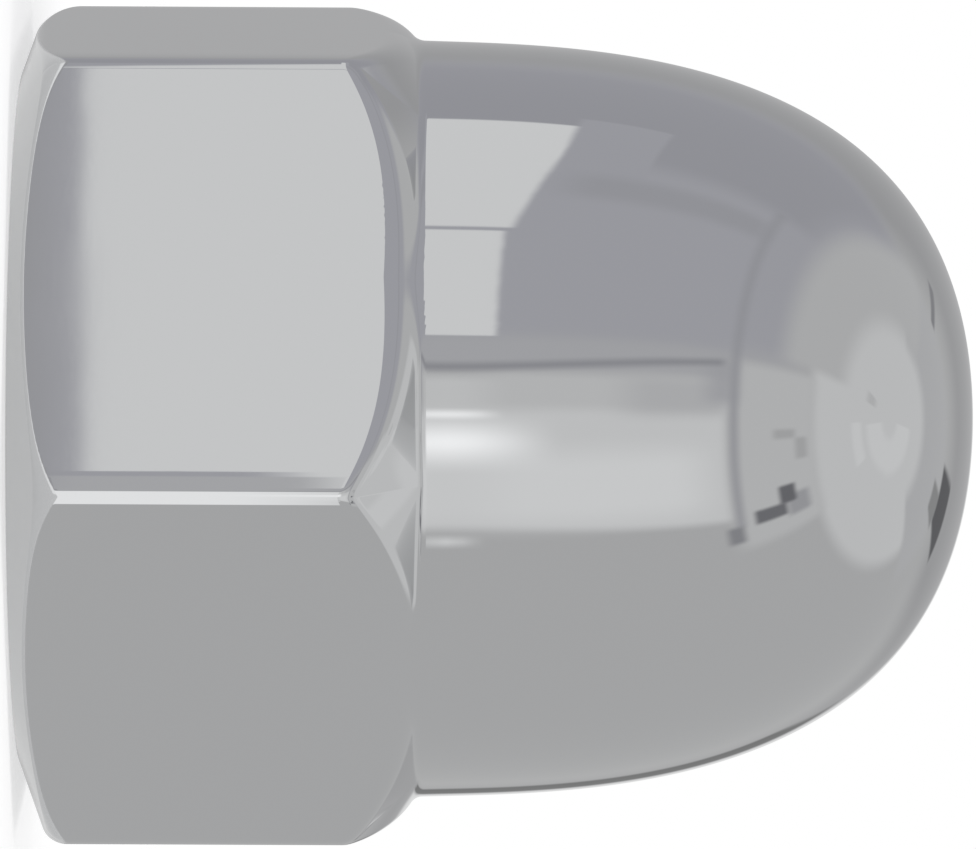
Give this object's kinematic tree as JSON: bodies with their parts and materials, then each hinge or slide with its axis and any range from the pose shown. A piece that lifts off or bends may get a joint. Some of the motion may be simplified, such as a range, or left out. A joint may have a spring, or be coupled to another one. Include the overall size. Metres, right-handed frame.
{
  "type": "cap nut",
  "caption": "Hexagon cap nut with a high dome over a blind screw thread, polished and chromium plated, standing on its bearing face.",
  "frame": {"origin": "centre of the bearing face, on the axis of the thread", "axes": "+Z along the thread's axis, from the bearing face to the crown of the dome; two of the hexagon's flats face +Y and -Y, two of its corners point to +X and -X"},
  "size_m": [0.0112, 0.0098, 0.012],
  "materials": {
    "chromium_plate": "polished"
  },
  "bodies": {
    "root": {"cap_nut": "chromium_plate"}
  },
  "joints": []
}
